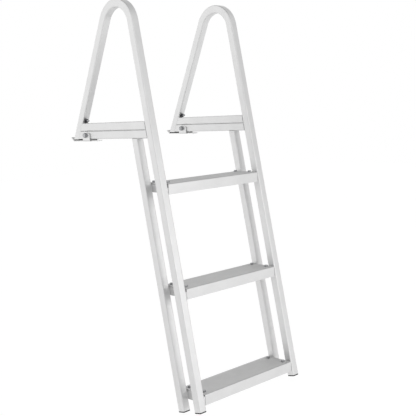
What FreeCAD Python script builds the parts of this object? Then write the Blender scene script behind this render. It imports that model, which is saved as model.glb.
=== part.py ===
import FreeCAD, Part
import os
from math import pi, radians
import Sketcher
from FreeCAD import Placement, Rotation, Vector

# Dock ladder: two side frames of bent one-inch square tube, three extruded treads,
# and two brackets that hold it on top of the dock.
# X runs across the ladder, from the left frame to the right one, +Y points inland over
# the dock, +Z is up. The origin is the middle of the underside of the left bracket.
TREADS = ["top", "middle", "bottom"]

# Millimetres and degrees.
DRIVING = {
    # square tube
    "tube_side": 25.4,
    "tube_wall": 2.0,
    "tube_corner": 3.5,
    # side frame, seen from the side
    "rail_lean": 10.1,
    "leg_slant": 25.8,
    "arm_reach": 343.0,
    "bend_radius": 70.0,
    "rail_gap": 46.0,
    "rail_past_tread": 48.5,
    # ladder, seen from the front
    "frame_spread": 438.2,
    # treads
    "tread_spacing": 304.8,
    "first_tread_drop": 133.4,
    "tread_depth": 101.6,
    "tread_plate": 2.6,
    "tread_skirt": 32.5,
    "tread_rear_skirt": 24.0,
    "tread_skirt_wall": 2.2,
    "tread_nose": 3.0,
    "tread_overhang": 1.8,
    "tread_end_gap": 3.0,
    "rib_height": 0.9,
    "rib_width": 3.2,
    "rib_crest": 1.8,
    "rib_pitch": 6.0,
    "rib_margin": 8.8,
    # angle brackets under the treads
    "angle_wall": 3.0,
    "angle_drop": 28.0,
    "angle_flange": 28.0,
    "angle_bend": 5.0,
    "angle_setback": 5.0,
    "seat_clearance": 0.3,
    # end caps
    "cap_lip": 3.5,
    "cap_plug": 14.0,
    "cap_clearance": 0.3,
    # dock brackets
    "bracket_wall": 3.2,
    "bracket_bend": 4.2,
    "base_front": 92.0,
    "base_back": 29.0,
    "tip_angle": 40.0,
    "tip_length": 18.0,
    "tip_bend": 6.0,
    "ear_height": 22.5,
    "ear_corner": 6.0,
    "ear_front": 64.0,
    "ear_back": 27.0,
    "bracket_bolt": 43.0,
    "bracket_bolt_hole": 8.5,
    "screw_hole": 6.5,
    "screw_front": 14.0,
    "screw_back": 42.0,
}

# Lengths that follow from the driving ones.
DERIVED = {
    "half_tube": "Sizes.tube_side / 2",
    "inner_side": "Sizes.tube_side - 2 * Sizes.tube_wall",
    "loop_angle": "Sizes.rail_lean + Sizes.leg_slant",
    "rail_half_y": "half_tube / cos(Sizes.rail_lean)",
    "leg_half_y": "half_tube / cos(Sizes.leg_slant)",
    "centre_span": "Sizes.arm_reach + rail_half_y + leg_half_y",
    "bend_tangent": "Sizes.bend_radius / tan(loop_angle / 2)",
    "rail_above_deck": "centre_span * cos(Sizes.leg_slant) / sin(loop_angle) - bend_tangent",
    "leg_above_deck": "centre_span * cos(Sizes.rail_lean) / sin(loop_angle) - bend_tangent",
    "last_tread_drop": f"Sizes.first_tread_drop + {len(TREADS) - 1} * Sizes.tread_spacing",
    "rail_below_deck": "last_tread_drop / cos(Sizes.rail_lean) + Sizes.rail_past_tread",
    "rail_straight": "rail_below_deck + rail_above_deck",
    "rear_pitch": "Sizes.rail_gap + Sizes.tube_side",
    "rear_rail_straight": "rail_below_deck + rear_pitch * tan(Sizes.rail_lean)",
    "foot_y": "rail_back_y - rail_half_y - rail_below_deck * sin(Sizes.rail_lean)",
    "foot_z": "bar_bottom - rail_below_deck * cos(Sizes.rail_lean)",
    "bar_bottom": "Sizes.cap_lip + Sizes.bracket_wall",
    "rail_back_y": "0 - Sizes.arm_reach + (Sizes.base_front - Sizes.base_back) / 2",
    "right_x": "Sizes.frame_spread - Sizes.tube_side",
    "leg_foot_y": "rail_back_y + Sizes.arm_reach + leg_half_y",
    "tread_length": "right_x - Sizes.tube_side - 2 * Sizes.tread_end_gap",
    "tread_under": "Sizes.rib_height + Sizes.tread_plate",
    "rib_count": "floor((Sizes.tread_depth - 2 * Sizes.rib_margin) / Sizes.rib_pitch) + 1",
    "base_length": "Sizes.base_front + Sizes.base_back",
    "ear_inner": "half_tube + Sizes.seat_clearance",
    "bracket_width": "2 * (ear_inner + Sizes.bracket_wall)",
    "base_width": "bracket_width - 2 * Sizes.bracket_bend",
}

doc = FreeCAD.newDocument("dock_ladder")
sizes = doc.addObject("Spreadsheet::Sheet", "Sizes")
for row, (name, value) in enumerate(DRIVING.items(), 1):
    sizes.set(f"A{row}", str(value))
    sizes.setAlias(f"A{row}", name)
layout = doc.addObject("Spreadsheet::Sheet", "Layout")
for row, (name, formula) in enumerate(DERIVED.items(), 1):
    layout.set(f"A{row}", "=" + formula)
    layout.setAlias(f"A{row}", name)
doc.recompute()


def number(expression):
    """The present value of an expression in the sheets' names."""
    value = layout.evalExpression(str(expression))
    return float(getattr(value, "Value", value))


def plane(body, role):
    """One of a body's own origin planes."""
    for feature in body.Origin.OriginFeatures:
        if feature.Role == role:
            return feature


def new_body(label):
    body = doc.addObject("PartDesign::Body", label)
    body.Label = label
    return body


def put(body, x=0, y=0, z=0, tilt=0):
    """Places a body by expressions, turned by tilt degrees about X."""
    body.Placement = Placement(Vector(0, 0, 0), Rotation(Vector(1, 0, 0), 1))
    body.setExpression("Placement.Base.x", str(x))
    body.setExpression("Placement.Base.y", str(y))
    body.setExpression("Placement.Base.z", str(z))
    body.setExpression("Placement.Rotation.Angle", f"({tilt}) * 1 deg")


def new_sketch(body, name, role, x=0, y=0, z=0, turn=0):
    """A sketch on an origin plane, shifted in it, lifted off it and turned about its own normal."""
    sketch = body.newObject("Sketcher::SketchObject", name)
    sketch.AttachmentSupport = [(plane(body, role), "")]
    sketch.MapMode = "FlatFace"
    sketch.AttachmentOffset = Placement(Vector(0, 0, 0), Rotation(Vector(0, 0, 1), 1))
    sketch.setExpression("AttachmentOffset.Base.x", str(x))
    sketch.setExpression("AttachmentOffset.Base.y", str(y))
    sketch.setExpression("AttachmentOffset.Base.z", str(z))
    sketch.setExpression("AttachmentOffset.Rotation.Angle", f"({turn}) * 1 deg")
    return sketch


def bind(sketch, constraint, expression):
    """Adds a driving constraint and ties it to an expression."""
    index = sketch.addConstraint(constraint)
    sketch.setExpression(f"Constraints[{index}]", str(expression))


def rectangle(sketch, x, y, width, height):
    """A rectangle from its lower left corner (x, y) in the sketch."""
    x0, y0 = number(x), number(y)
    x1, y1 = x0 + number(width), y0 + number(height)
    corners = [Vector(x0, y0), Vector(x1, y0), Vector(x1, y1), Vector(x0, y1)]
    first = sketch.GeometryCount
    for i in range(4):
        sketch.addGeometry(Part.LineSegment(corners[i], corners[(i + 1) % 4]))
    for i in range(4):
        sketch.addConstraint(Sketcher.Constraint("Coincident", first + i, 2, first + (i + 1) % 4, 1))
    for i, kind in enumerate(["Horizontal", "Vertical", "Horizontal", "Vertical"]):
        sketch.addConstraint(Sketcher.Constraint(kind, first + i))
    bind(sketch, Sketcher.Constraint("DistanceX", -1, 1, first, 1, x0), x)
    bind(sketch, Sketcher.Constraint("DistanceY", -1, 1, first, 1, y0), y)
    bind(sketch, Sketcher.Constraint("DistanceX", first, 1, first, 2, x1 - x0), width)
    bind(sketch, Sketcher.Constraint("DistanceY", first + 1, 1, first + 1, 2, y1 - y0), height)


def centred_square(sketch, side):
    rectangle(sketch, f"0 - ({side}) / 2", f"0 - ({side}) / 2", side, side)


def outline(sketch, corners):
    """A closed outline of straight sides, each corner bound to a pair of expressions."""
    places = [Vector(number(x), number(y)) for x, y in corners]
    first, count = sketch.GeometryCount, len(corners)
    for i in range(count):
        sketch.addGeometry(Part.LineSegment(places[i], places[(i + 1) % count]))
    for i, (x, y) in enumerate(corners):
        sketch.addConstraint(Sketcher.Constraint("Coincident", first + (i - 1) % count, 2, first + i, 1))
        bind(sketch, Sketcher.Constraint("DistanceX", -1, 1, first + i, 1, places[i].x), x)
        bind(sketch, Sketcher.Constraint("DistanceY", -1, 1, first + i, 1, places[i].y), y)


def holes_sketch(sketch, centres, diameter):
    """Round holes of one size about centres given as pairs of expressions."""
    for i, (x, y) in enumerate(centres):
        radius = number(diameter) / 2
        sketch.addGeometry(Part.Circle(Vector(number(x), number(y)), Vector(0, 0, 1), radius))
        bind(sketch, Sketcher.Constraint("Radius", i, radius), f"{diameter} / 2")
        bind(sketch, Sketcher.Constraint("DistanceX", -1, 1, i, 3, number(x)), x)
        bind(sketch, Sketcher.Constraint("DistanceY", -1, 1, i, 3, number(y)), y)
    return sketch


def rounded_square(sketch, side, corner):
    """A square about the sketch's origin whose corners are tangent arcs."""
    half, radius = number(side) / 2, number(corner)
    flat = half - radius
    first = sketch.GeometryCount
    for i in range(4):
        quarter = Rotation(Vector(0, 0, 1), 90 * i)
        start = quarter.multVec(Vector(-flat, -half))
        end = quarter.multVec(Vector(flat, -half))
        circle = Part.Circle(quarter.multVec(Vector(flat, -flat)), Vector(0, 0, 1), radius)
        begin = (i - 1) * pi / 2
        sketch.addGeometry(Part.LineSegment(start, end))
        sketch.addGeometry(Part.ArcOfCircle(circle, begin, begin + pi / 2))
    for i in range(4):
        line, arc, after = first + 2 * i, first + 2 * i + 1, first + (2 * i + 2) % 8
        sketch.addConstraint(Sketcher.Constraint("Tangent", line, 2, arc, 1))
        sketch.addConstraint(Sketcher.Constraint("Tangent", arc, 2, after, 1))
        sketch.addConstraint(Sketcher.Constraint("Vertical" if i % 2 else "Horizontal", line))
        if i:
            sketch.addConstraint(Sketcher.Constraint("Equal", first + 1, arc))
    bind(sketch, Sketcher.Constraint("Radius", first + 1, radius), corner)
    bind(sketch, Sketcher.Constraint("DistanceX", first + 6, 1, first + 2, 1, 2 * half), side)
    bind(sketch, Sketcher.Constraint("DistanceY", first, 1, first + 4, 1, 2 * half), side)
    bind(sketch, Sketcher.Constraint("DistanceX", -1, 1, first + 2, 1, half), f"({side}) / 2")
    bind(sketch, Sketcher.Constraint("DistanceY", -1, 1, first + 4, 1, half), f"({side}) / 2")


def pad(body, name, sketch, length, both_ways=False, reverse=False):
    feature = body.newObject("PartDesign::Pad", name)
    feature.Profile = sketch
    feature.setExpression("Length", str(length))
    feature.SideType = "Symmetric" if both_ways else "One side"
    feature.Reversed = reverse
    return feature


def pocket(body, name, sketch, length):
    """A cut half its length to each side of the sketch."""
    feature = body.newObject("PartDesign::Pocket", name)
    feature.Profile = sketch
    feature.SideType = "Symmetric"
    feature.setExpression("Length", str(length))
    return feature


def fillet(body, name, radius, chosen):
    """Rounds the edges of the body's last feature whose bounding box passes the test."""
    doc.recompute()
    base = body.Tip
    edges = [f"Edge{i}" for i, edge in enumerate(base.Shape.Edges, 1) if chosen(edge.BoundBox)]
    feature = body.newObject("PartDesign::Fillet", name)
    feature.Base = (base, edges)
    feature.setExpression("Radius", str(radius))
    return feature


def near(value, expression):
    return abs(value - number(expression)) < 0.01


def tube_profile(body):
    """The section of the square tube, on the plane across the body's own Z axis."""
    sketch = new_sketch(body, "section_" + body.Label, "XY_Plane")
    rounded_square(sketch, "Sizes.tube_side", "Sizes.tube_corner")
    centred_square(sketch, "Layout.inner_side")
    return sketch


def trim(body, name, y, z, turn, above):
    """Saws a tube off along a line in its side view, through (y, z) and turned from the Y axis."""
    reach = "6 * Sizes.tube_side"
    sketch = new_sketch(body, f"{name}_line_{body.Label}", "YZ_Plane", y, z, 0, turn)
    rectangle(sketch, f"0 - {reach}", "0" if above else f"0 - {reach}", f"2 * {reach}", reach)
    return pocket(body, f"{name}_{body.Label}", sketch, "2 * Sizes.tube_side")


# Side frames: each is one length of tube, from the foot up the front, over the handrail
# bend and down to the dock, with a second rail behind it and two bars as its arm.
def rail_loop(side, x):
    body = new_body(f"rail_loop_{side}")
    section = tube_profile(body)
    path = new_sketch(body, f"path_{side}", "YZ_Plane")
    straight, radius = number("Layout.rail_straight"), number("Sizes.bend_radius")
    leg_length = "Layout.leg_above_deck + Sizes.tube_side"
    leg, turned = number(leg_length), number("Layout.loop_angle")
    out = Rotation(Vector(0, 0, 1), turned).multVec(Vector(1, 0, 0))
    down = Vector(out.y, -out.x)
    centre = Vector(radius, straight)
    bend_end = centre + out * radius
    circle = Part.Circle(centre, Vector(0, 0, 1), radius)
    path.addGeometry(Part.LineSegment(Vector(0, 0), Vector(0, straight)))
    path.addGeometry(Part.ArcOfCircle(circle, radians(turned), pi))
    path.addGeometry(Part.LineSegment(bend_end, bend_end + down * leg))
    path.addConstraint(Sketcher.Constraint("Coincident", 0, 1, -1, 1))
    path.addConstraint(Sketcher.Constraint("Vertical", 0))
    path.addConstraint(Sketcher.Constraint("Tangent", 0, 2, 1, 2))
    path.addConstraint(Sketcher.Constraint("Tangent", 1, 1, 2, 1))
    bind(path, Sketcher.Constraint("DistanceY", 0, 1, 0, 2, straight), "Layout.rail_straight")
    bind(path, Sketcher.Constraint("Radius", 1, radius), "Sizes.bend_radius")
    bind(path, Sketcher.Constraint("Angle", 0, 1, 2, 2, radians(turned)), "Layout.loop_angle * 1 deg")
    bind(path, Sketcher.Constraint("Distance", 2, 1, 2, 2, leg), leg_length)
    sweep = body.newObject("PartDesign::AdditivePipe", f"bent_tube_{side}")
    sweep.Profile = section
    sweep.Spine = (path, ["Edge1", "Edge2", "Edge3"])
    leg_y = "Layout.centre_span * cos(Sizes.rail_lean)"
    leg_z = "Layout.rail_below_deck + Layout.centre_span * sin(Sizes.rail_lean)"
    trim(body, "leg_end", leg_y, leg_z, "Sizes.rail_lean", above=False)
    put(body, x, "Layout.foot_y", "Layout.foot_z", "0 - Sizes.rail_lean")
    return body


def rear_rail(side, x):
    """The second rail, one gap behind the first and sawn level under the arm."""
    body = new_body(f"rear_rail_{side}")
    pad(body, f"rear_tube_{side}", tube_profile(body), "Layout.rear_rail_straight + Sizes.tube_side")
    trim(body, "top_end", "0", "Layout.rear_rail_straight", "Sizes.rail_lean", above=True)
    back = "Layout.rear_pitch * cos(Sizes.rail_lean)"
    drop = "Layout.rear_pitch * sin(Sizes.rail_lean)"
    put(body, x, f"Layout.foot_y + {back}", f"Layout.foot_z - {drop}", "0 - Sizes.rail_lean")
    return body


def arm_bar(side, x, level, storey):
    """One bar of the arm, mitred to the leaning rail in front and to the slanted leg behind."""
    body = new_body(f"{level}_bar_{side}")
    pad(body, f"{level}_tube_{side}", tube_profile(body), "Sizes.arm_reach")
    rise = f"({storey} + 0.5) * Sizes.tube_side"
    front = f"{rise} * tan(Sizes.rail_lean)"
    back = f"Sizes.arm_reach - {rise} * tan(Sizes.leg_slant)"
    trim(body, "front_end", "0", front, "0 - Sizes.rail_lean", above=False)
    trim(body, "back_end", "0", back, "Sizes.leg_slant", above=True)
    if level == "lower":
        bolt = new_sketch(body, f"bolt_centre_{side}", "YZ_Plane")
        holes_sketch(bolt, [("0", "Sizes.arm_reach - Sizes.bracket_bolt")], "Sizes.bracket_bolt_hole")
        pocket(body, f"bolt_hole_{side}", bolt, "2 * Sizes.tube_side")
    put(body, x, "Layout.rail_back_y", f"Layout.bar_bottom + {rise}", "0 - 90")
    return body


# Black plastic caps in the open ends of the tubes: a lip over the end and a plug inside.
def plug(body):
    sketch = new_sketch(body, f"plug_section_{body.Label}", "XY_Plane")
    centred_square(sketch, "Layout.inner_side - 2 * Sizes.cap_clearance")
    return pad(body, f"plug_{body.Label}", sketch, "Sizes.cap_plug")


def foot_cap(side, x, rail, pitch):
    body = new_body(f"{rail}_foot_cap_{side}")
    plug(body)
    sketch = new_sketch(body, f"lip_section_{body.Label}", "XY_Plane")
    rounded_square(sketch, "Sizes.tube_side", "Sizes.tube_corner")
    pad(body, f"lip_{body.Label}", sketch, "Sizes.cap_lip", reverse=True)
    back = f"{pitch} * cos(Sizes.rail_lean)"
    drop = f"{pitch} * sin(Sizes.rail_lean)"
    put(body, x, f"Layout.foot_y + {back}", f"Layout.foot_z - {drop}", "0 - Sizes.rail_lean")
    return body


def leg_cap(side, x):
    """The cap of the slanted leg, whose lip lies level on the dock bracket."""
    body = new_body(f"leg_cap_{side}")
    plug(body)
    trim(body, "plug_end", "0", "0", "0 - Sizes.leg_slant", above=False)
    sketch = new_sketch(body, f"lip_side_{body.Label}", "YZ_Plane", 0, 0, 0, "0 - Sizes.leg_slant")
    half = "Layout.leg_half_y"
    rectangle(sketch, f"0 - {half}", "0 - Sizes.cap_lip", f"2 * {half}", "Sizes.cap_lip")
    pad(body, f"lip_{body.Label}", sketch, "Sizes.tube_side", both_ways=True)
    put(body, x, "Layout.leg_foot_y", "Layout.bar_bottom", "Sizes.leg_slant")
    return body


# Dock brackets: each is one bent plate, with an ear turned up on each side of the lower bar
# and the inland end turned up too. The base is screwed to the dock, the bar bolted between.
def dock_bracket(side, x):
    body = new_body(f"dock_bracket_{side}")
    half_width, half_length = "Layout.bracket_width / 2", "Layout.base_length / 2"
    wall, height = "Sizes.bracket_wall", "Sizes.bracket_wall + Sizes.ear_height"
    ears_back = f"Sizes.base_front - {half_length} - Sizes.ear_back"
    ears_front = f"Sizes.base_front - {half_length} - Sizes.ear_front"
    half = [(half_width, "0"), (half_width, height), ("Layout.ear_inner", height), ("Layout.ear_inner", wall)]
    mirrored = [(f"0 - {x}", y) for x, y in reversed(half)]
    channel = new_sketch(body, f"channel_section_{side}", "XZ_Plane", 0, 0, f"0 - ({ears_back})")
    outline(channel, half + mirrored)
    pad(body, f"channel_{side}", channel, "Sizes.ear_front - Sizes.ear_back")
    fillet(body, f"outer_bends_{side}", "Sizes.bracket_bend",
           lambda box: near(box.ZMax, 0) and near(abs(box.Center.x), half_width))
    fillet(body, f"inner_bends_{side}", "Sizes.bracket_bend - Sizes.bracket_wall",
           lambda box: near(box.ZMax, wall) and near(abs(box.Center.x), "Layout.ear_inner")
           and box.YLength > 1)
    fillet(body, f"ear_corners_{side}", "Sizes.ear_corner",
           lambda box: near(box.ZMin, height) and box.XLength > box.YLength)
    base = new_sketch(body, f"base_outline_{side}", "XY_Plane")
    base_width = "Layout.base_width"
    rectangle(base, f"0 - {base_width} / 2", f"0 - {half_length}", base_width, "Layout.base_length")
    pad(body, f"base_{side}", base, wall)
    tip = new_sketch(body, f"tip_side_{side}", "YZ_Plane", half_length, 0, 0, "Sizes.tip_angle")
    rectangle(tip, 0, 0, "Sizes.tip_length", wall)
    pad(body, f"tip_{side}", tip, base_width, both_ways=True)
    fillet(body, f"tip_bend_{side}", "Sizes.tip_bend",
           lambda box: near(box.ZMax, 0) and near(box.YMin, half_length) and box.XLength > 1)
    screws = [("0", f"Sizes.screw_front - {half_length}"), ("0", f"{half_length} - Sizes.screw_back")]
    sketch = holes_sketch(new_sketch(body, f"screw_centres_{side}", "XY_Plane"), screws, "Sizes.screw_hole")
    pocket(body, f"screw_holes_{side}", sketch, "3 * Sizes.bracket_wall")
    along = f"Sizes.base_front - {half_length} - Sizes.bracket_bolt"
    sketch = new_sketch(body, f"bolt_centre_{side}", "YZ_Plane")
    holes_sketch(sketch, [(along, "Layout.bar_bottom + Layout.half_tube")], "Sizes.bracket_bolt_hole")
    pocket(body, f"bolt_hole_{side}", sketch, "2 * Layout.bracket_width")
    put(body, x)
    return body


# Treads: aluminium extrusions with a ribbed top, a deep skirt in front and a lower one
# behind, bolted down on an angle bracket at each end.
def tread(name, drop):
    body = new_body(f"tread_{name}")
    depth, top, wall = "Sizes.tread_depth", "0 - Sizes.rib_height", "Sizes.tread_skirt_wall"
    under, front, rear = "0 - Layout.tread_under", "0 - Sizes.tread_skirt", "0 - Sizes.tread_rear_skirt"
    section = new_sketch(body, f"channel_section_{name}", "YZ_Plane")
    outline(section, [("0", top), ("0", front), (wall, front), (wall, under),
                      (f"{depth} - {wall}", under), (f"{depth} - {wall}", rear), (depth, rear), (depth, top)])
    pad(body, f"channel_{name}", section, "Layout.tread_length", both_ways=True)
    fillet(body, f"nose_{name}", "Sizes.tread_nose",
           lambda box: near(box.YMax, 0) and near(box.ZMin, top))
    ridge = new_sketch(body, f"rib_section_{name}", "YZ_Plane")
    outline(ridge, [("Sizes.rib_margin - Sizes.rib_width / 2", top),
                    ("Sizes.rib_margin + Sizes.rib_width / 2", top),
                    ("Sizes.rib_margin + Sizes.rib_crest / 2", "0"),
                    ("Sizes.rib_margin - Sizes.rib_crest / 2", "0")])
    rib = pad(body, f"rib_{name}", ridge, "Layout.tread_length", both_ways=True)
    ribs = body.newObject("PartDesign::LinearPattern", f"ribs_{name}")
    ribs.Originals = [rib]
    ribs.Direction = (ridge, ["H_Axis"])
    ribs.setExpression("Occurrences", "Layout.rib_count")
    ribs.setExpression("Length", "(Layout.rib_count - 1) * Sizes.rib_pitch")
    body.Tip = ribs
    put(body, "Layout.right_x / 2", tread_front(drop), f"Layout.bar_bottom - ({drop})")
    return body


def tread_front(drop):
    """Where a tread's front edge is, that far below the arm on the leaning rails."""
    lean = f"({drop}) * tan(Sizes.rail_lean)"
    return f"Layout.rail_back_y - {lean} - 2 * Layout.rail_half_y - Sizes.tread_overhang"


def tread_angle(name, drop, side, x, hand):
    """An angle bracket: upright plate on the rails' inner faces, flange under the tread."""
    body = new_body(f"{name}_angle_{side}")
    wall, under = "Sizes.angle_wall", "0 - Layout.tread_under"
    flange, drop_end = f"{hand} * Sizes.angle_flange", "0 - Sizes.angle_drop"
    rear_end = "Sizes.angle_setback - Sizes.tread_depth"
    section = new_sketch(body, f"section_{body.Label}", "XZ_Plane", 0, 0, rear_end)
    outline(section, [("0", under), ("0", drop_end), (f"{hand} * {wall}", drop_end),
                      (f"{hand} * {wall}", f"{under} - {wall}"), (flange, f"{under} - {wall}"),
                      (flange, under)])
    pad(body, f"angle_{body.Label}", section, "Sizes.tread_depth - 2 * Sizes.angle_setback")
    fillet(body, f"outer_bend_{body.Label}", "Sizes.angle_bend",
           lambda box: near(box.XLength, 0) and near(box.XMin, 0) and near(box.ZMin, under))
    fillet(body, f"inner_bend_{body.Label}", "Sizes.angle_bend - Sizes.angle_wall",
           lambda box: near(box.Center.x, f"{hand} * {wall}") and near(box.ZMin, f"{under} - {wall}")
           and box.YLength > 1)
    put(body, f"{x} + {hand} * Layout.half_tube", tread_front(drop), f"Layout.bar_bottom - ({drop})")
    return body


parts = []
for side, x, hand in [("left", "0", 1), ("right", "Layout.right_x", -1)]:
    parts.append(rail_loop(side, x))
    parts.append(rear_rail(side, x))
    parts.append(arm_bar(side, x, "lower", 0))
    parts.append(arm_bar(side, x, "upper", 1))
    parts.append(foot_cap(side, x, "front", "0"))
    parts.append(foot_cap(side, x, "rear", "Layout.rear_pitch"))
    parts.append(leg_cap(side, x))
    parts.append(dock_bracket(side, x))
    for i, name in enumerate(TREADS):
        drop = f"Sizes.first_tread_drop + {i} * Sizes.tread_spacing"
        parts.append(tread_angle(name, drop, side, x, hand))
for i, name in enumerate(TREADS):
    parts.append(tread(name, f"Sizes.first_tread_drop + {i} * Sizes.tread_spacing"))
doc.recompute()

for thing in doc.Objects:
    if "Invalid" in thing.State or "Error" in thing.State:
        raise RuntimeError(f"{thing.Label} failed: {thing.State}")
for body in parts:
    if body.Shape.isNull() or not body.Shape.isValid() or len(body.Shape.Solids) != 1:
        raise RuntimeError(f"{body.Label} is not one valid solid")
os.makedirs("parts", exist_ok=True)
for body in parts:
    body.Shape.exportStep(f"parts/{body.Label}.step")
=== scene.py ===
from math import cos, pi, radians, sin, tan

import bpy
import numpy as np
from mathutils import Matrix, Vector


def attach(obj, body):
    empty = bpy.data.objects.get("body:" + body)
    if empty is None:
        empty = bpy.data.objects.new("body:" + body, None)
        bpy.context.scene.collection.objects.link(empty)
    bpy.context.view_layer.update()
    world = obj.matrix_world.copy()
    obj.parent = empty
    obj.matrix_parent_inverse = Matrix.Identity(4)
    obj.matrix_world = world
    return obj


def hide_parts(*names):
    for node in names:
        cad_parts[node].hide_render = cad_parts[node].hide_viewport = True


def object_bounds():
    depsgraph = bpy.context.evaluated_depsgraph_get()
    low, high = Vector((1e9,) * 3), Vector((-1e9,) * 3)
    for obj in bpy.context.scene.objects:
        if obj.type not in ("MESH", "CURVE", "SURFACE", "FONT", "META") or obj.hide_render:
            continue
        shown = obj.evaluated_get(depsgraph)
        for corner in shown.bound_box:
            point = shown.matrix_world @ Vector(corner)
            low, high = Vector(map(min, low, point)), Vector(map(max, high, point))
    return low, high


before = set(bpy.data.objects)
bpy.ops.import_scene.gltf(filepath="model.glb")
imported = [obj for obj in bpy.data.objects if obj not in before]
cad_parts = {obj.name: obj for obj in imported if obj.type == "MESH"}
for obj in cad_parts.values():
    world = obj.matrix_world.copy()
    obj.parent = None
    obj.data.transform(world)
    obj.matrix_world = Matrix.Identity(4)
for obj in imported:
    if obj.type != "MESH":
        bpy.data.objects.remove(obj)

cad_box = [list(corner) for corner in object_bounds()]
scene = bpy.context.scene
scene.view_settings.view_transform = "Standard"

# The studio: a white floor and backdrop for the camera. What the metal mirrors is the same floor
# in a plain room, whose walls at eye level are brightest inland, a little to the ladder's left,
# and dimmest on the opposite side. Brightness 1 is the white that the camera sees.
FLOOR_TONE, LOW_WALLS, HIGH_WALLS, CEILING = 1.0, 0.9, 0.95, 0.4
BRIGHT_SIDE, BRIGHTER_BY = radians(115), 0.42
# Sines of the elevation where the high walls, and then the ceiling, have their full tone.
WALL_TOP, OVERHEAD = 0.55, 0.95
# Matt surfaces get this share of the room's light.
MATT_SHARE = 0.75
# The camera sees nine tenths glow and a tenth paint, so the floor is white and takes a shadow.
FLOOR_HALF, FLOOR_PAINT, FLOOR_GLOW, GLOW_SHARE = 8.0, (0.85, 0.85, 0.85, 1.0), 1.065, 0.9
WHITE = (1.0, 1.0, 1.0, 1.0)


def add(tree, kind, inputs, **settings):
    """Adds a shader node: its properties, then a value or a link for each input named."""
    node = tree.nodes.new("ShaderNode" + kind)
    for name, value in settings.items():
        setattr(node, name, value)
    for name, value in inputs.items():
        if isinstance(value, bpy.types.NodeSocket):
            tree.links.new(value, node.inputs[name])
        else:
            node.inputs[name].default_value = value
    return node


def bare_material(name):
    """A new material and its node tree, with nothing in it yet."""
    material = bpy.data.materials.new(name)
    material.use_nodes = True
    material.node_tree.nodes.clear()
    return material, material.node_tree


world = bpy.data.worlds.new("studio")
scene.world = world
world.use_nodes = True
tree = world.node_tree
tree.nodes.clear()
ray = add(tree, "LightPath", {}).outputs
sight = add(tree, "Math", {0: ray["Is Camera Ray"], 1: ray["Is Transmission Ray"]},
            operation="MAXIMUM").outputs[0]
seen = add(tree, "Math", {0: sight, 1: ray["Is Glossy Ray"]}, operation="MAXIMUM").outputs[0]
direction = add(tree, "SeparateXYZ", {0: add(tree, "TexCoord", {}).outputs["Generated"]}).outputs
bearing = add(tree, "Math", {0: direction["Y"], 1: direction["X"]}, operation="ARCTAN2").outputs[0]
away = add(tree, "Math", {0: bearing, 1: BRIGHT_SIDE}, operation="SUBTRACT").outputs[0]
facing = add(tree, "Math", {0: away}, operation="COSINE").outputs[0]
low_walls = add(tree, "Math", {0: facing, 1: BRIGHTER_BY, 2: LOW_WALLS},
                operation="MULTIPLY_ADD").outputs[0]
up_wall = add(tree, "MapRange", {"Value": direction["Z"], "From Max": WALL_TOP}).outputs[0]
walls = add(tree, "Mix", {0: up_wall, 2: low_walls, 3: HIGH_WALLS}).outputs[0]
overhead = add(tree, "MapRange", {"Value": direction["Z"], "From Min": WALL_TOP,
                                  "From Max": OVERHEAD}).outputs[0]
room = add(tree, "Mix", {0: overhead, 2: walls, 3: CEILING}).outputs[0]
backdrop = add(tree, "Mix", {0: sight, 2: room, 3: 1.0}).outputs[0]
share = add(tree, "MapRange", {"Value": seen, "To Min": MATT_SHARE}).outputs[0]
strength = add(tree, "Math", {0: share, 1: backdrop}, operation="MULTIPLY").outputs[0]
background = add(tree, "Background", {"Color": WHITE, "Strength": strength}).outputs[0]
add(tree, "OutputWorld", {"Surface": background})

floor_level = cad_box[0][2]
floor_corners = [(x * FLOOR_HALF, y * FLOOR_HALF, floor_level)
                 for x, y in [(-1, -1), (1, -1), (1, 1), (-1, 1)]]
floor_mesh = bpy.data.meshes.new("floor")
floor_mesh.from_pydata(floor_corners, [], [(0, 1, 2, 3)])
floor = bpy.data.objects.new("floor", floor_mesh)
scene.collection.objects.link(floor)
white_floor, tree = bare_material("matt_white_floor")
ray = add(tree, "LightPath", {}).outputs
sight = add(tree, "Math", {0: ray["Is Camera Ray"], 1: ray["Is Transmission Ray"]},
            operation="MAXIMUM").outputs[0]
painted = add(tree, "BsdfDiffuse", {"Color": FLOOR_PAINT}).outputs[0]
glowing = add(tree, "Emission", {"Color": WHITE, "Strength": FLOOR_GLOW}).outputs[0]
share = add(tree, "Math", {0: sight, 1: GLOW_SHARE}, operation="MULTIPLY").outputs[0]
lit = add(tree, "MixShader", {0: share, 1: painted, 2: glowing}).outputs[0]
mirrored = add(tree, "Emission", {"Color": WHITE, "Strength": FLOOR_TONE}).outputs[0]
lit = add(tree, "MixShader", {0: ray["Is Glossy Ray"], 1: lit, 2: mirrored}).outputs[0]
add(tree, "OutputMaterial", {"Surface": lit})
floor_mesh.materials.append(white_floor)


def soft_lamp(name, place, target, width, watts):
    """A square area lamp that points from its place at a target."""
    lamp = bpy.data.lights.new(name, "AREA")
    lamp.size, lamp.energy = width, watts
    holder = bpy.data.objects.new(name, lamp)
    holder.location = place
    holder.rotation_euler = (Vector(target) - Vector(place)).to_track_quat("-Z", "Y").to_euler()
    scene.collection.objects.link(holder)


soft_lamp("key", place=(-1.9, -2.6, 1.5), target=(0.2, -0.2, -0.2), width=1.3, watts=3.2)
soft_lamp("front", place=(0.95, -2.95, 0.0), target=(0.2, -0.4, -0.2), width=1.0, watts=12.0)

# The camera stands where the photograph was taken from.
camera = bpy.data.objects.new("camera", bpy.data.cameras.new("camera"))
camera.location = (-1.5299, -2.1461, 0.0869)
camera.rotation_euler = (radians(84.356), radians(2.954), radians(-43.985))
camera.data.lens = 70.36
camera.data.shift_y = -0.048
scene.collection.objects.link(camera)
scene.camera = camera

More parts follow.
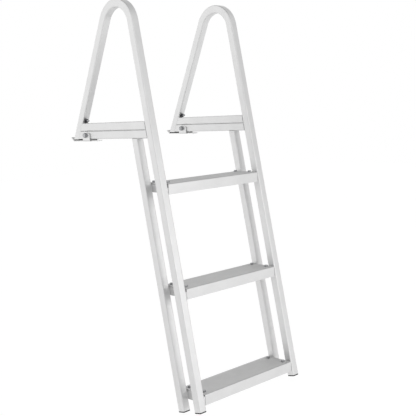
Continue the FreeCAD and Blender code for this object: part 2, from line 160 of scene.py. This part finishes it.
# Side frames: one-inch square tube of satin anodised aluminium, drawn through a die, bent
# round a former for the handrail and welded. One length is front rail, handrail and slanted
# leg in one; a straight rear rail and two stacked bars make up the rest of each frame.
MM = 0.001
TUBE, TUBE_CORNER, TUBE_WALL = 25.4 * MM, 3.5 * MM, 2.0 * MM
LEAN, SLANT, LEVEL = radians(10.1), radians(25.8), pi / 2
ARM, BEND, RAIL_GAP, RAIL_PAST_TREAD = 343.0 * MM, 70.0 * MM, 46.0 * MM, 48.5 * MM
RAIL_PITCH = RAIL_GAP + TUBE
FRAME_SPREAD, FIRST_TREAD_DROP, TREAD_SPACING = 438.2 * MM, 133.4 * MM, 304.8 * MM
FRAMES = {"left": 0.0, "right": FRAME_SPREAD - TUBE}
TREADS = {name: FIRST_TREAD_DROP + step * TREAD_SPACING
          for step, name in enumerate(["top", "middle", "bottom"])}
# Z starts at the dock and Y at the middle of the brackets' bases. The arms lie above the dock by
# a bracket's wall and a leg cap's lip, and end a little inland of the bases' middle.
ARM_END, BRACKET_WALL, CAP_LIP = 31.5 * MM, 3.2 * MM, 3.5 * MM
BAR_BOTTOM, RAIL_BACK = BRACKET_WALL + CAP_LIP, ARM_END - ARM
CORNER_STEPS, BEND_STEPS = 6, 48
# Extra points this close to a curve's ends let the flats beside it shade flat.
BESIDE_CORNER, BESIDE_BEND = 0.3 * MM, 0.8 * MM


def linear(hex_colour):
    """An sRGB hex colour as linear red, green, blue and alpha."""
    shares = np.array([int(hex_colour[i:i + 2], 16) / 255 for i in (1, 3, 5)])
    shares = np.where(shares < 0.04045, shares / 12.92, ((shares + 0.055) / 1.055) ** 2.4)
    return (*shares.tolist(), 1.0)


def rounded_square(side, corner):
    """Points (n, 2) round a square: at each corner a quarter circle, with one more point just
    beyond each of its ends, the quarter turned four times."""
    flat = side / 2 - corner
    turn = np.linspace(0, pi / 2, CORNER_STEPS + 1)
    arc = np.column_stack([flat + corner * np.cos(turn), flat + corner * np.sin(turn)])
    quarter = np.vstack([[side / 2, flat - BESIDE_CORNER], arc, [flat - BESIDE_CORNER, side / 2]])
    angles = np.arange(4) * pi / 2
    turns = np.array([[np.cos(angles), np.sin(angles)], [-np.sin(angles), np.cos(angles)]])
    return np.einsum("pi,ijk->kpj", quarter, turns).reshape(-1, 2)


def cross(a, b):
    """The cross product of two directions in the side view."""
    return a[0] * b[1] - a[1] * b[0]


def carried(profile, centres, headings, x, cuts):
    """Rings (m, n, 3) of a profile (n, 2) carried along a path in the side view. Each ring is
    centre + a * X + b * N + s * T, where T is the heading (0 is up, a quarter turn is inland),
    N is a quarter turn back from it, and s is 0 but at a sawn end, where the cut's own heading
    C makes it s = -b * (N x C) / (T x C)."""
    centres, headings = np.asarray(centres, float), np.asarray(headings, float)
    along = np.column_stack([np.sin(headings), np.cos(headings)])
    normal = np.column_stack([-np.cos(headings), np.sin(headings)])
    shift = np.zeros((len(centres), len(profile)))
    for end, cut in zip((0, -1), cuts):
        if cut is not None:
            line = (sin(cut), cos(cut))
            shift[end] = -profile[:, 1] * cross(normal[end], line) / cross(along[end], line)
    side_view = (centres[:, None] + normal[:, None] * profile[None, :, 1:]
                 + along[:, None] * shift[..., None])
    ring_x = np.broadcast_to(x + profile[None, :, :1], side_view[..., :1].shape)
    return np.concatenate([ring_x, side_view], axis=2)


def ring_faces(rows, columns, closed=False):
    """Quads between neighbouring rings of a (rows, columns) grid; closed joins the last ring to
    the first."""
    starts = np.arange(rows if closed else rows - 1)
    row, column = np.meshgrid(starts, np.arange(columns), indexing="ij")
    after, beside = (row + 1) % rows, (column + 1) % columns
    corners = [row * columns + column, row * columns + beside,
               after * columns + beside, after * columns + column]
    return np.stack(corners, axis=-1).reshape(-1, 4)


def looped(rings):
    """A closed shell: rings (m, n, 3) joined by quads, and the last joined to the first."""
    rows, columns = rings.shape[:2]
    return rings.reshape(-1, 3), ring_faces(rows, columns, closed=True)


def capped(rings):
    """A closed shell: rings (m, n, 3) joined by quads, with a fan to the middle of each end."""
    rows, columns = rings.shape[:2]
    points = np.vstack([rings.reshape(-1, 3), rings[0].mean(0), rings[-1].mean(0)])
    first_middle, last_middle = rows * columns, rows * columns + 1
    one = np.arange(columns)
    beside = (one + 1) % columns
    last = (rows - 1) * columns
    start = np.column_stack([np.full(columns, first_middle), beside, one])
    end = np.column_stack([np.full(columns, last_middle), last + one, last + beside])
    return points, ring_faces(rows, columns), np.vstack([start, end])


def volume_under(points, faces):
    """Six times the volume between the faces and the origin: the sum of a . (b x c) over each
    face's triangles a b c and a c d. A triangle's d is its c, which adds nothing."""
    a, b, c, d = (points[faces[:, i]] for i in (0, 1, 2, -1))
    return np.sum(a * np.cross(b, c)) + np.sum(a * np.cross(c, d))


def make_piece(name, shells, material, replaced=(), uv=None, sharp=32):
    """One object from closed shells, each its points and one or two groups of faces. A shell is
    turned inside out if the volume inside it comes out negative."""
    points, faces, start = [], [], 0
    for shell_points, *groups in shells:
        inside_out = sum(volume_under(shell_points, group) for group in groups) < 0
        for group in groups:
            outward = group[:, ::-1] if inside_out else group
            faces += (outward + start).tolist()
        points.append(shell_points)
        start += len(shell_points)
    mesh = bpy.data.meshes.new(name)
    mesh.from_pydata(np.vstack(points).tolist(), [], faces)
    mesh.shade_smooth()
    mesh.set_sharp_from_angle(angle=radians(sharp))
    mesh.materials.append(material)
    if uv is not None:
        mesh.uv_layers.new(name="along_tube")
        corner = np.zeros(len(mesh.loops), int)
        mesh.loops.foreach_get("vertex_index", corner)
        mesh.uv_layers[0].data.foreach_set("uv", uv(corner).astype(np.float32).ravel())
    piece = bpy.data.objects.new(name, mesh)
    scene.collection.objects.link(piece)
    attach(piece, "root")
    if replaced:
        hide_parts(*replaced)


def tube(name, centres, headings, x, cuts):
    """A hollow square tube: its outer skin, then its bore on the way back, closed in a ring."""
    skin = rounded_square(TUBE, TUBE_CORNER)
    hollow = rounded_square(TUBE - 2 * TUBE_WALL, TUBE_CORNER - TUBE_WALL)
    outer = carried(skin, centres, headings, x, cuts)
    bore = carried(hollow, centres, headings, x, cuts)
    rings = np.concatenate([outer, bore[::-1]])
    columns = rings.shape[1]
    length = np.r_[0, np.cumsum(np.linalg.norm(np.diff(centres, axis=0), axis=1))]
    length = np.r_[length, length[::-1]]
    girth = np.r_[0, np.cumsum(np.linalg.norm(np.diff(outer[0], axis=0), axis=1))]

    def metres(corner):
        """Metres round the tube and metres along it."""
        return np.column_stack([girth[corner % columns], length[corner // columns]])

    make_piece(name + "_tube", [looped(rings)], anodised_tube, [name], uv=metres)


# Satin anodised aluminium: caustic etched, so a soft even sheen, over faint die lines that run
# along the tube and a slow change of tone from one batch of oxide to the next. Lines and pits
# are drawn coarser than the real ones, so that they show.
SATIN_DARK, SATIN_LIGHT = linear("#DEDEDE"), linear("#E7E7E7")
SATIN_SMOOTH, SATIN_ROUGH = 0.44, 0.54
DIE_LINES, DIE_RUNS, OXIDE_CLOUDS, ETCH_PITS = 1.4 / MM, 0.009 / MM, 0.026 / MM, 2.2 / MM
DIE_MARKS = {"Scale": 1.0, "Detail": 3.0, "Roughness": 0.6}
DIE_DEPTH = {"Strength": 0.12, "Distance": 0.04 * MM}
anodised_tube, tree = bare_material("satin_anodised_aluminium_tube")
on_tube = add(tree, "UVMap", {}, uv_map="along_tube").outputs[0]
drawn = add(tree, "VectorMath", {0: on_tube, 1: (DIE_LINES, DIE_RUNS, 1.0)},
            operation="MULTIPLY").outputs[0]
die_lines = add(tree, "TexNoise", {"Vector": drawn, **DIE_MARKS}).outputs[0]
place = add(tree, "TexCoord", {}).outputs["Object"]
clouds = add(tree, "TexNoise", {"Vector": place, "Scale": OXIDE_CLOUDS, "Detail": 2.0}).outputs[0]
etch = add(tree, "TexNoise", {"Vector": place, "Scale": ETCH_PITS, "Detail": 1.0}).outputs[0]
tone = add(tree, "Mix", {0: clouds, 6: SATIN_DARK, 7: SATIN_LIGHT}, data_type="RGBA").outputs[2]
grain = add(tree, "Math", {0: die_lines, 1: etch}, operation="ADD").outputs[0]
rough = add(tree, "MapRange", {"Value": grain, "From Min": 0.6, "From Max": 1.4,
                               "To Min": SATIN_SMOOTH, "To Max": SATIN_ROUGH}).outputs[0]
bumps = add(tree, "Bump", {"Height": grain, **DIE_DEPTH}).outputs[0]
surface = add(tree, "BsdfPrincipled", {"Base Color": tone, "Metallic": 1.0, "Roughness": rough,
                                       "Normal": bumps}).outputs[0]
add(tree, "OutputMaterial", {"Surface": surface})

# In the side view, Y and Z: the tubes' middle lines, from the foot up the rail, round the bend
# and down the leg, with the rear rail parallel behind. Rail and leg would meet in an apex if
# they ran on. Above and below are lengths along them from the arm's underside.
rail_half, leg_half = TUBE / 2 / cos(LEAN), TUBE / 2 / cos(SLANT)
span, apex = ARM + rail_half + leg_half, LEAN + SLANT
bend_to_apex = BEND / tan(apex / 2)
rail_above = span * cos(SLANT) / sin(apex) - bend_to_apex
leg_above = span * cos(LEAN) / sin(apex) - bend_to_apex
rail_below = TREADS["bottom"] / cos(LEAN) + RAIL_PAST_TREAD
up_rail, behind_rail = np.array([sin(LEAN), cos(LEAN)]), np.array([cos(LEAN), -sin(LEAN)])
down_leg = np.array([sin(SLANT), -cos(SLANT)])
rail_axis = np.array([RAIL_BACK - rail_half, BAR_BOTTOM])
front_foot = rail_axis - rail_below * up_rail
rear_foot = front_foot + RAIL_PITCH * behind_rail
rear_top = rear_foot + (rail_below + RAIL_PITCH * tan(LEAN)) * up_rail
bend_start = rail_axis + rail_above * up_rail
bend = np.linspace(LEAN, pi - SLANT, BEND_STEPS + 1)
curve = bend_start + BEND * behind_rail + BEND * np.column_stack([-np.cos(bend), np.sin(bend)])
loop = np.vstack([front_foot, bend_start - BESIDE_BEND * up_rail, curve,
                  curve[-1] + BESIDE_BEND * down_leg, curve[-1] + leg_above * down_leg])
loop_headings = np.r_[LEAN, LEAN, bend, pi - SLANT, pi - SLANT]

for side, x in FRAMES.items():
    tube(f"rail_loop_{side}", loop, loop_headings, x, (None, LEVEL))
    tube(f"rear_rail_{side}", [rear_foot, rear_top], [LEAN, LEAN], x, (None, LEVEL))
    for storey, name in enumerate(["lower", "upper"]):
        rise = (storey + 0.5) * TUBE
        ends = [[RAIL_BACK + rise * tan(LEAN), BAR_BOTTOM + rise],
                [ARM_END - rise * tan(SLANT), BAR_BOTTOM + rise]]
        tube(f"{name}_bar_{side}", ends, [LEVEL, LEVEL], x, (LEAN, pi - SLANT))

# Treads: aluminium extrusions with ribs along the top for grip and a deep skirt in front.
# The same satin anodising as the tubes, with painted shade on top: faces that look up get a greyer
# tone for the shade that the ribs' flanks hold.
PAINTED_RIB_SHADE_DARK, PAINTED_RIB_SHADE_LIGHT = linear("#C5C5C5"), linear("#CECECE")
tread_finish, tree = bare_material("satin_anodised_aluminium_tread")
coordinates = add(tree, "TexCoord", {}).outputs
drawn = add(tree, "VectorMath", {0: coordinates["Object"], 1: (DIE_RUNS, DIE_LINES, DIE_LINES)},
            operation="MULTIPLY").outputs[0]
die_lines = add(tree, "TexNoise", {"Vector": drawn, **DIE_MARKS}).outputs[0]
clouds = add(tree, "TexNoise", {"Vector": coordinates["Object"], "Scale": OXIDE_CLOUDS,
                                "Detail": 2.0}).outputs[0]
bright = add(tree, "Mix", {0: clouds, 6: SATIN_DARK, 7: SATIN_LIGHT}, data_type="RGBA").outputs[2]
# Painted shade: a greyer copy of the satin tone, standing in for the shade between the ribs.
painted_rib_shade = add(tree, "Mix", {0: clouds, 6: PAINTED_RIB_SHADE_DARK, 7: PAINTED_RIB_SHADE_LIGHT}, data_type="RGBA").outputs[2]
upward = add(tree, "SeparateXYZ", {0: coordinates["Normal"]}).outputs["Z"]
# Faces that look up take the painted shade.
top_shade_mask = add(tree, "MapRange", {"Value": upward, "From Min": 0.3, "From Max": 0.7}).outputs[0]
tone = add(tree, "Mix", {0: top_shade_mask, 6: bright, 7: painted_rib_shade}, data_type="RGBA").outputs[2]
rough = add(tree, "MapRange", {"Value": die_lines, "From Min": 0.3, "From Max": 0.7,
                               "To Min": SATIN_SMOOTH, "To Max": SATIN_ROUGH}).outputs[0]
bumps = add(tree, "Bump", {"Height": die_lines, **DIE_DEPTH}).outputs[0]
surface = add(tree, "BsdfPrincipled", {"Base Color": tone, "Metallic": 1.0, "Roughness": rough,
                                       "Normal": bumps}).outputs[0]
add(tree, "OutputMaterial", {"Surface": surface})
for name in TREADS:
    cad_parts[f"tread_{name}"].material_slots[0].material = tread_finish

# Brackets: the two dock brackets and the treads' angles, bent from aluminium plate. It is left
# as it comes from the rolling mill, so it is smoother and shinier than the satin tube, with a
# fine grain that runs inland.
ROLLED_LINES, ROLLED_RUNS = 1.6 / MM, 0.014 / MM
plate, tree = bare_material("mill_finish_aluminium_plate")
place = add(tree, "TexCoord", {}).outputs["Object"]
rolled = add(tree, "VectorMath", {0: place, 1: (ROLLED_LINES, ROLLED_RUNS, ROLLED_LINES)},
             operation="MULTIPLY").outputs[0]
grain = add(tree, "TexNoise", {"Vector": rolled, "Scale": 1.0, "Detail": 4.0,
                               "Roughness": 0.65}).outputs[0]
rough = add(tree, "MapRange", {"Value": grain, "From Min": 0.3, "From Max": 0.7,
                               "To Min": 0.26, "To Max": 0.4}).outputs[0]
surface = add(tree, "BsdfPrincipled", {"Base Color": linear("#D8D8D8"), "Metallic": 1.0,
                                       "Roughness": rough}).outputs[0]
add(tree, "OutputMaterial", {"Surface": surface})
for side in FRAMES:
    for name in ["dock_bracket", *(f"{tread}_angle" for tread in TREADS)]:
        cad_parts[f"{name}_{side}"].material_slots[0].material = plate

# Weld beads: small fillets of filler laid by hand with a torch, so each is a row of
# overlapping ripples like a stack of coins. They join bars, rails and angles, bright and
# unpolished beside the satin tube.
BEAD_LEG, RIPPLE, BEAD_SIDES, STEPS_A_RIPPLE = 2.6 * MM, 1.5 * MM, 16, 6
weld_metal, tree = bare_material("rippled_aluminium_weld_metal")
place = add(tree, "TexCoord", {}).outputs["Object"]
frost = add(tree, "TexNoise", {"Vector": place, "Scale": 0.9 / MM, "Detail": 3.0}).outputs[0]
tone = add(tree, "Mix", {0: frost, 6: linear("#CACACA"), 7: linear("#DCDCDC")},
           data_type="RGBA").outputs[2]
rough = add(tree, "MapRange", {"Value": frost, "To Min": 0.24, "To Max": 0.42}).outputs[0]
surface = add(tree, "BsdfPrincipled", {"Base Color": tone, "Metallic": 1.0,
                                       "Roughness": rough}).outputs[0]
add(tree, "OutputMaterial", {"Surface": surface})


def bead(start, end, bisector):
    """A closed bead from start to end along an inner corner: a round section of radius
    leg * (1 + 0.1 * sawtooth(s / ripple)), sunk into the corner by 0.45 of its leg and pinched
    to a rounded tip over 1.2 legs at both ends. The bisector points out of the corner."""
    start, end, out = (np.asarray(v, float) for v in (start, end, bisector))
    length = np.linalg.norm(end - start)
    along, out = (end - start) / length, out / np.linalg.norm(out)
    across = np.cross(along, out)
    s = np.linspace(0, length, max(12, int(length / RIPPLE * STEPS_A_RIPPLE)) + 1)
    from_end = np.clip(np.minimum(s, length - s) / (1.2 * BEAD_LEG), 0.02, 1)
    pinch = np.sqrt(1 - (1 - from_end) ** 2)
    radius = BEAD_LEG * (1 + 0.1 * (2 * ((s / RIPPLE) % 1) - 1)) * pinch
    turn = np.arange(BEAD_SIDES) * 2 * pi / BEAD_SIDES
    ring = np.cos(turn)[:, None] * out + np.sin(turn)[:, None] * across
    centres = start + s[:, None] * along - 0.45 * BEAD_LEG * out
    return capped(centres[:, None] + radius[:, None, None] * ring[None])


def front_rail_back(z):
    """Y of the front rail's inland face at a height: RAIL_BACK at the arm, less below it."""
    return RAIL_BACK + (z - BAR_BOTTOM) * tan(LEAN)


# Each seam of the arm is a place in the side view and its bisector: the upper bar on the front
# rail, the lower bar on it, both sides of the rear rail's top, and the upper bar on the leg.
bar_top, pitch_y = BAR_BOTTOM + 2 * TUBE, RAIL_PITCH / cos(LEAN)
rail_at_bar = front_rail_back(BAR_BOTTOM)
arm_seams = [(front_rail_back(bar_top), bar_top, 1, 1),
             (rail_at_bar, BAR_BOTTOM, 1, -1),
             (rail_at_bar + pitch_y - 2 * rail_half, BAR_BOTTOM, -1, -1),
             (rail_at_bar + pitch_y, BAR_BOTTOM, 1, -1),
             (ARM_END - 2 * TUBE * tan(SLANT), bar_top, -1, 1)]
bead_half = (TUBE - TUBE_CORNER) / 2
# Under each angle a level bead runs along either rail, short of the rail's edges. Beside each
# rail an upright bead, set back a little from its face, runs up to the flange under the tread.
TREAD_RIB, TREAD_PLATE, ANGLE_WALL, ANGLE_DROP = 0.9 * MM, 2.6 * MM, 3.0 * MM, 28.0 * MM
TREAD_GRIP = TREAD_RIB + TREAD_PLATE + ANGLE_WALL
SHORT_IN_FRONT, SHORT_BEHIND, UPRIGHT_BACK = 4.0 * MM, 6.0 * MM, 1.5 * MM
upright_seams = [(-UPRIGHT_BACK, 1), (pitch_y - 2 * rail_half + UPRIGHT_BACK, -1)]

for side, x in FRAMES.items():
    beads = [bead((x - bead_half, y, z), (x + bead_half, y, z), (0, inland, up))
             for y, z, inland, up in arm_seams]
    make_piece(f"arm_welds_{side}", beads, weld_metal, sharp=60)
    inward = 1 if side == "left" else -1
    face = x + inward * TUBE / 2
    for name, drop in TREADS.items():
        low, high = BAR_BOTTOM - drop - ANGLE_DROP, BAR_BOTTOM - drop - TREAD_GRIP
        beads = []
        for back in (front_rail_back(low), front_rail_back(low) + pitch_y):
            start = (face, back - 2 * rail_half + SHORT_IN_FRONT, low)
            beads.append(bead(start, (face, back - SHORT_BEHIND, low), (inward, 0, -1)))
        for shift, inland in upright_seams:
            ends = [(face, front_rail_back(z) + shift, z) for z in (low, high)]
            beads.append(bead(*ends, (-inward, inland, 0)))
        make_piece(f"{name}_angle_welds_{side}", beads, weld_metal, sharp=60)

# End caps: black polyethylene, injection moulded and pushed into the open ends of the tubes up
# to a lip as wide as the tube. The mould leaves a fine spark-eroded grain, rounded rims and a
# shallow dish underneath, and the grain keeps the plastic from shining.
RIM, DISH, PARTING_STEP, PARTING_RISE = 0.7 * MM, 0.8 * MM, 0.25 * MM, 0.3 * MM
DISH_MIDDLE, DISH_FOOT, DISH_EDGE, LEAST_CORNER = 7.0 * MM, 4.4 * MM, 3.8 * MM, 0.6 * MM
PLUG_CLEARANCE, PLUG_SIDES, PLUG_END, PLUG_TAPER = 0.3 * MM, 12.0 * MM, 14.0 * MM, 1.0 * MM
RIM_POINTS = 6
polyethylene, tree = bare_material("black_moulded_polyethylene")
place = add(tree, "TexCoord", {}).outputs["Object"]
grain = add(tree, "TexNoise", {"Vector": place, "Scale": 1.8 / MM, "Detail": 2.0}).outputs[0]
tone = add(tree, "Mix", {0: grain, 6: linear("#0B0B0C"), 7: linear("#161617")},
           data_type="RGBA").outputs[2]
bumps = add(tree, "Bump", {"Height": grain, "Strength": 0.3, "Distance": 0.05 * MM}).outputs[0]
surface = add(tree, "BsdfPrincipled", {"Base Color": tone, "Roughness": 0.62, "IOR": 1.51,
                                       "Specular IOR Level": 0.3, "Normal": bumps}).outputs[0]
add(tree, "OutputMaterial", {"Surface": surface})


def moulded_cap(name, x, end, out, into):
    """A cap on a tube's end: rounded squares at X + a, end + b * across + depth * way. Across
    lies in the cut, square to out, and b is stretched by 1 / |out . into| where the cut is
    slanted. Way is out for the lip and into, the tube's own direction, for the plug."""
    end, out, into = (np.asarray(v, float) for v in (end, out, into))
    across, stretch = np.array([-out[1], out[0]]), 1 / abs(out @ into)
    plug, turn = TUBE_WALL + PLUG_CLEARANCE, np.linspace(0, pi / 2, RIM_POINTS)
    rim = zip(RIM * (1 - np.sin(turn)), CAP_LIP - RIM * (1 - np.cos(turn)))
    dish = [(DISH_MIDDLE, CAP_LIP - DISH), (DISH_FOOT, CAP_LIP - DISH), (DISH_EDGE, CAP_LIP)]
    lip = [*dish, *rim, (0.0, PARTING_RISE), (PARTING_STEP, 0.0), (plug, 0.0)]
    levels = [(inset, depth, out) for inset, depth in lip]
    levels += [(plug, PLUG_SIDES, into), (plug + PLUG_TAPER, PLUG_END, into)]
    rings = []
    for inset, depth, way in levels:
        square = rounded_square(TUBE - 2 * inset, max(TUBE_CORNER - inset, LEAST_CORNER))
        side_view = end + depth * way + stretch * square[:, 1:] * across
        rings.append(np.column_stack([x + square[:, 0], side_view]))
    make_piece(name + "_moulded", [capped(np.array(rings))], polyethylene, [name])


leg_end = (ARM_END + leg_half, BAR_BOTTOM)
for side, x in FRAMES.items():
    moulded_cap(f"front_foot_cap_{side}", x, front_foot, -up_rail, up_rail)
    moulded_cap(f"rear_foot_cap_{side}", x, rear_foot, -up_rail, up_rail)
    moulded_cap(f"leg_cap_{side}", x, leg_end, (0, -1), -down_leg)

# Bolts: cold-headed hexagon bolts of stainless steel with washers and nuts. Four M6 bolts hold
# each tread to its angles, and one M8 bolt holds each arm between the ears of its bracket. The
# dies and the spanner leave them slightly scuffed. The leg studs' nuts are black oxide.
M6, M6_HEAD, M8, M8_HEAD = 6.0 * MM, 10.0 * MM, 8.0 * MM, 13.0 * MM
ROUND_STEPS, STEPS_A_PITCH = 48, 8
TURN = np.arange(ROUND_STEPS) * 2 * pi / ROUND_STEPS
CHAMFER, FACE_SHARE, FACE_STEP = radians(30), 0.475, 0.3 * MM
DISHED_SHARE, DISHED_BY = 0.8, 0.12 * MM
COUNTERSINK, COUNTERSINK_DEPTH, BROKEN_EDGE = 0.5 * MM, 0.4 * MM, 0.2 * MM
# A nut's bore is a little narrower than its thread's crests, so that no gap shows.
UNDER_CREST = 0.3 * MM
FINISHES = {"cold_headed_stainless_steel": ("#9FA0A2", "#B9BABC"),
            "black_oxide_steel": ("#343538", "#4E4F53")}
steels = []
for name, (dark, light) in FINISHES.items():
    steel, tree = bare_material(name)
    place = add(tree, "TexCoord", {}).outputs["Object"]
    scuffs = add(tree, "TexNoise", {"Vector": place, "Scale": 1.3 / MM, "Detail": 3.0}).outputs[0]
    tone = add(tree, "Mix", {0: scuffs, 6: linear(dark), 7: linear(light)},
               data_type="RGBA").outputs[2]
    rough = add(tree, "MapRange", {"Value": scuffs, "To Min": 0.22, "To Max": 0.4}).outputs[0]
    surface = add(tree, "BsdfPrincipled", {"Base Color": tone, "Metallic": 1.0,
                                           "Roughness": rough}).outputs[0]
    add(tree, "OutputMaterial", {"Surface": surface})
    steels.append(steel)
stainless, blackened_steel = steels


def turned(levels):
    """Rings (m, 48, 3) round Z from pairs of a radius and a height, each one number or one for
    each direction round Z."""
    rings = []
    for radius, height in levels:
        ring = np.broadcast_arrays(radius * np.cos(TURN), radius * np.sin(TURN), height)
        rings.append(np.column_stack(ring))
    return np.stack(rings)


def set_on(shell, place, axis):
    """A shell moved so that its origin is at a place and its Z points along an axis."""
    points, *faces = shell
    z = np.asarray(axis, float)
    x = np.cross(z, (0, 0, 1)) if abs(z[2]) < 0.9 else np.array([1.0, 0, 0])
    x /= np.linalg.norm(x)
    return np.asarray(place, float) + points @ np.array([x, np.cross(z, x), z]), *faces


def hexagon(width):
    """The reach of a hexagon in each direction: half its width over the cosine of the angle to
    the middle of the nearest flat."""
    return width / 2 / np.cos((TURN + pi / 6) % (pi / 3) - pi / 6)


def head(width, height):
    """A hexagon head on a thin round face. Its top is cut back to a cone and hardly dished."""
    reach, face = hexagon(width), FACE_SHARE * width
    return capped(turned([(face, 0.0), (face, FACE_STEP), (reach, FACE_STEP),
                          (reach, height - (reach - face) * tan(CHAMFER)), (face, height),
                          (DISHED_SHARE * face, height - DISHED_BY)]))


def nut(width, height, bore):
    """A hexagon nut, both faces cut back to a cone, its bore countersunk."""
    reach, face, sink = hexagon(width), FACE_SHARE * width, bore + COUNTERSINK
    slope = (reach - face) * tan(CHAMFER)
    return looped(turned([(bore, COUNTERSINK_DEPTH), (sink, 0.0), (face, 0.0), (reach, slope),
                          (reach, height - slope), (face, height), (sink, height),
                          (bore, height - COUNTERSINK_DEPTH)]))


def washer(outer, bore, thickness):
    """A flat ring with its outer edges broken."""
    inner, top = outer - BROKEN_EDGE, thickness - BROKEN_EDGE
    return looped(turned([(bore, 0.0), (inner, 0.0), (outer, BROKEN_EDGE), (outer, top),
                          (inner, thickness), (bore, thickness)]))


def thread(size, pitch, start, end):
    """A threaded end: radius size / 2 - 0.6 * pitch * |2 * frac(z / pitch - turn / 2 pi) - 1|,
    under a cone of 45 degrees whose tip is 0.36 * size in radius."""
    z = np.linspace(start, end, int((end - start) / pitch * STEPS_A_PITCH) + 1)[:, None]
    groove = np.abs(2 * ((z / pitch - TURN / (2 * pi)) % 1) - 1)
    radius = np.minimum(size / 2 - 0.6 * pitch * groove, 0.36 * size + (end - z))
    height = np.broadcast_to(z, radius.shape)
    return capped(np.stack([radius * np.cos(TURN), radius * np.sin(TURN), height], axis=2))


def bolt(size, width, place, axis, grip, spare):
    """A bolt's shells, in shares of its thread's size. Its head and washer stand at a place,
    with the axis pointing out of the head, and beyond the grip stand a washer, a nut and a
    threaded end that passes the nut by the spare length."""
    axis, near = np.asarray(axis, float), np.asarray(place, float)
    far, disc, washer_bore = near - grip * axis, 0.2 * size, 0.53 * size
    head_height, nut_height, pitch = 0.66 * size, 0.8 * size, 0.16 * size
    flat = washer(size, washer_bore, disc)
    end = thread(size, pitch, 0.0, disc + nut_height + spare)
    return [set_on(flat, near, axis), set_on(head(width, head_height), near + disc * axis, axis),
            set_on(flat, far, -axis),
            set_on(nut(width, nut_height, size / 2 - UNDER_CREST), far - disc * axis, -axis),
            set_on(end, far, -axis)]


TREAD_OVERHANG, BOLTS_INSET, BOLT_ROWS = 1.8 * MM, 31.0 * MM, (20.0 * MM, 83.0 * MM)
TREAD_SPARE = 2.5 * MM
for name, drop in TREADS.items():
    front = RAIL_BACK - drop * tan(LEAN) - 2 * rail_half - TREAD_OVERHANG
    shells = []
    for x in (FRAMES["left"] + BOLTS_INSET, FRAMES["right"] - BOLTS_INSET):
        for row in BOLT_ROWS:
            place = (x, front + row, BAR_BOTTOM - drop)
            shells += bolt(M6, M6_HEAD, place, (0, 0, 1), TREAD_GRIP, TREAD_SPARE)
    make_piece(f"tread_bolts_{name}", shells, stainless)

SEAT_CLEARANCE, BRACKET_BOLT, BRACKET_SPARE = 0.3 * MM, 43.0 * MM, 1.5 * MM
ear_face = TUBE / 2 + SEAT_CLEARANCE + BRACKET_WALL
for side, x in FRAMES.items():
    out = -1.0 if side == "left" else 1.0
    place = (x + out * ear_face, ARM_END - BRACKET_BOLT, BAR_BOTTOM + TUBE / 2)
    shells = bolt(M8, M8_HEAD, place, (out, 0, 0), 2 * ear_face, BRACKET_SPARE)
    make_piece(f"bracket_bolt_{side}", shells, stainless)

# Leg studs: an M6 stud of stainless steel stands level out of each slanted leg's inner wall,
# just above the arm. A blackened nut is run down onto it, over a blackened washer that is
# bevelled to square the slope.
STUD_HEIGHT, STUD_SUNK, STUD_OUT, M6_PITCH = 65.0 * MM, 1.0 * MM, 16.5 * MM, 1.0 * MM
BEVEL_BORE, BEVEL_RIM, BEVEL_FACE, NUT_HEIGHT = 3.2 * MM, 5.6 * MM, 3.6 * MM, 5.0 * MM
WATER_SIDE = np.array([0, -1.0, 0])
slope = -np.sin(TURN) * tan(SLANT)
bevelled = looped(turned([(BEVEL_BORE, BEVEL_BORE * slope), (BEVEL_RIM, BEVEL_RIM * slope),
                          (BEVEL_RIM, BEVEL_FACE - BROKEN_EDGE),
                          (BEVEL_RIM - BROKEN_EDGE, BEVEL_FACE), (BEVEL_BORE, BEVEL_FACE)]))
stud_nut = nut(M6_HEAD, NUT_HEIGHT, M6 / 2 - UNDER_CREST)
stud = thread(M6, M6_PITCH, -STUD_SUNK, STUD_OUT)
leg_wall = ARM_END - (STUD_HEIGHT - BAR_BOTTOM) * tan(SLANT)
for side, x in FRAMES.items():
    place = np.array([x, leg_wall, STUD_HEIGHT])
    shells = [set_on(bevelled, place, WATER_SIDE),
              set_on(stud_nut, place + BEVEL_FACE * WATER_SIDE, WATER_SIDE)]
    make_piece(f"leg_nut_{side}", shells, blackened_steel)
    make_piece(f"leg_stud_{side}", [set_on(stud, place, WATER_SIDE)], stainless)
